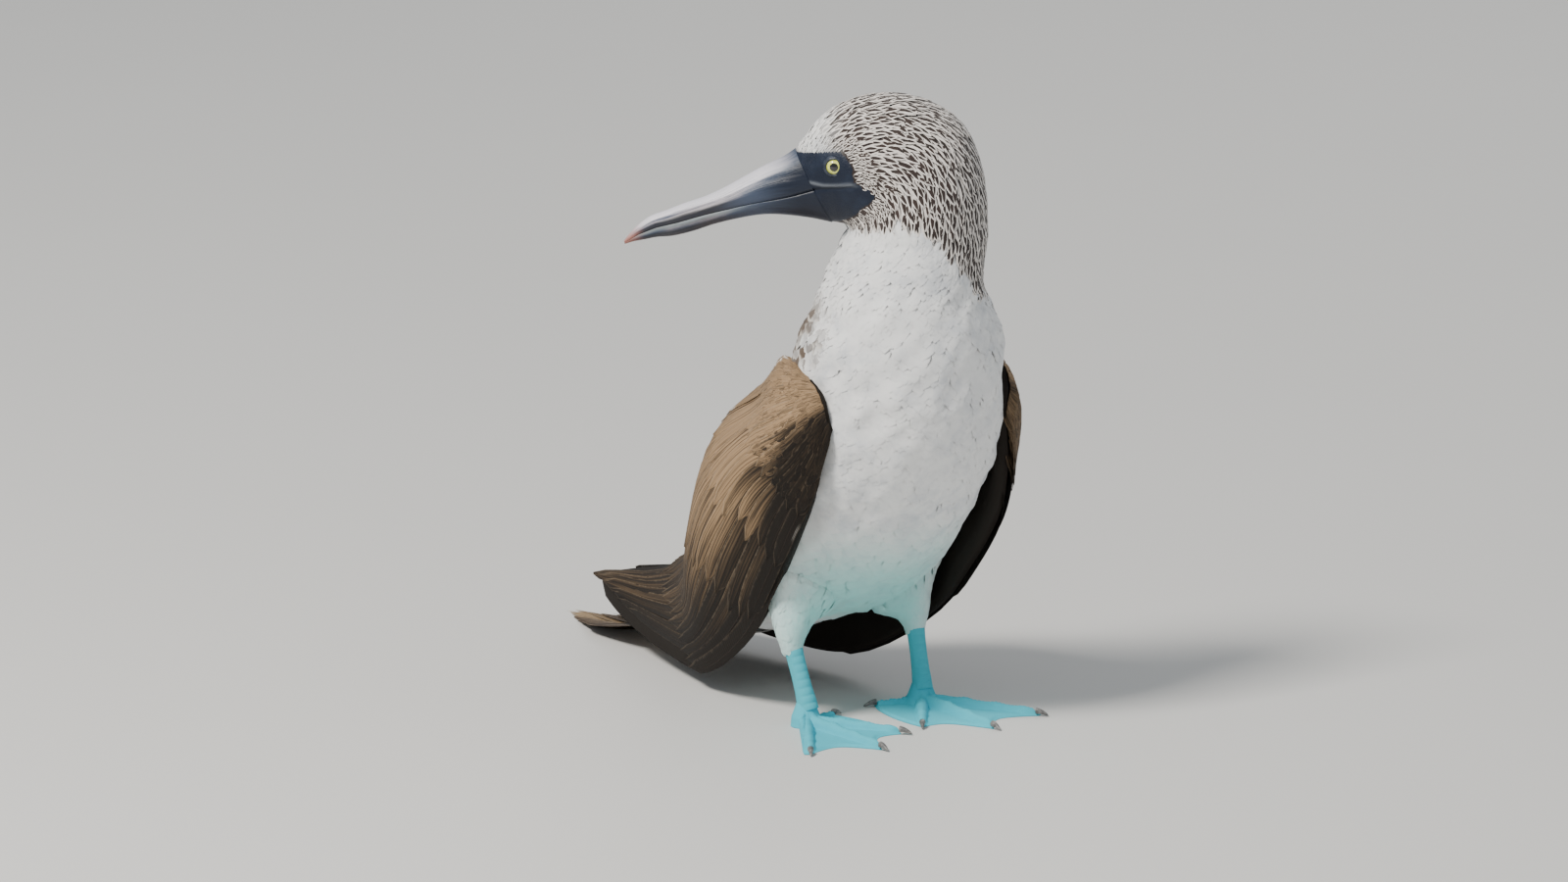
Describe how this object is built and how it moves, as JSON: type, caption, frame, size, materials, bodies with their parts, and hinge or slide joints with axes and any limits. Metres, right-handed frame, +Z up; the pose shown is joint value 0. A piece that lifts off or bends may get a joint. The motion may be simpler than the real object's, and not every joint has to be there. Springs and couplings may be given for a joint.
{
  "type": "blue footed booby model",
  "caption": "Life-size standing seabird with a long bill, folded wings, a tail laid to the ground and webbed feet.",
  "frame": {"origin": "middle of the bottom of the box round the bird, on the ground it stands on", "axes": "+Z up, the breast faces -Y and the bird's left side is +X"},
  "size_m": [0.2108, 0.3994, 0.3516],
  "materials": {
    "plumage_head": "cream feathers streaked with brown, and slate skin round the eye",
    "bill_upper": "smooth horn, slate blue to lilac grey",
    "bill_lower": "smooth horn, slate blue",
    "eye": "wet and glossy, pale yellow with a small black pupil",
    "plumage_neck": "white feathers, brown streaks at the nape",
    "plumage_body": "soft white feathers, brown and white mantle",
    "wing": "dark brown feathers with paler edges",
    "tail": "brown feathers, paler in the middle",
    "plumage_thigh": "soft white feathers",
    "leg_skin": "turquoise scaly skin",
    "foot_skin": "turquoise webbed skin"
  },
  "bodies": {
    "root": {"head": "plumage_head", "bill_upper": "bill_upper", "bill_lower": "bill_lower", "eye_left": "eye", "eye_right": "eye", "neck": "plumage_neck", "torso": "plumage_body", "wing_left": "wing", "wing_right": "wing", "tail": "tail", "thigh_left": "plumage_thigh", "thigh_right": "plumage_thigh", "shank_left": "leg_skin", "shank_right": "leg_skin", "foot_left": "foot_skin", "foot_right": "foot_skin"}
  },
  "joints": []
}
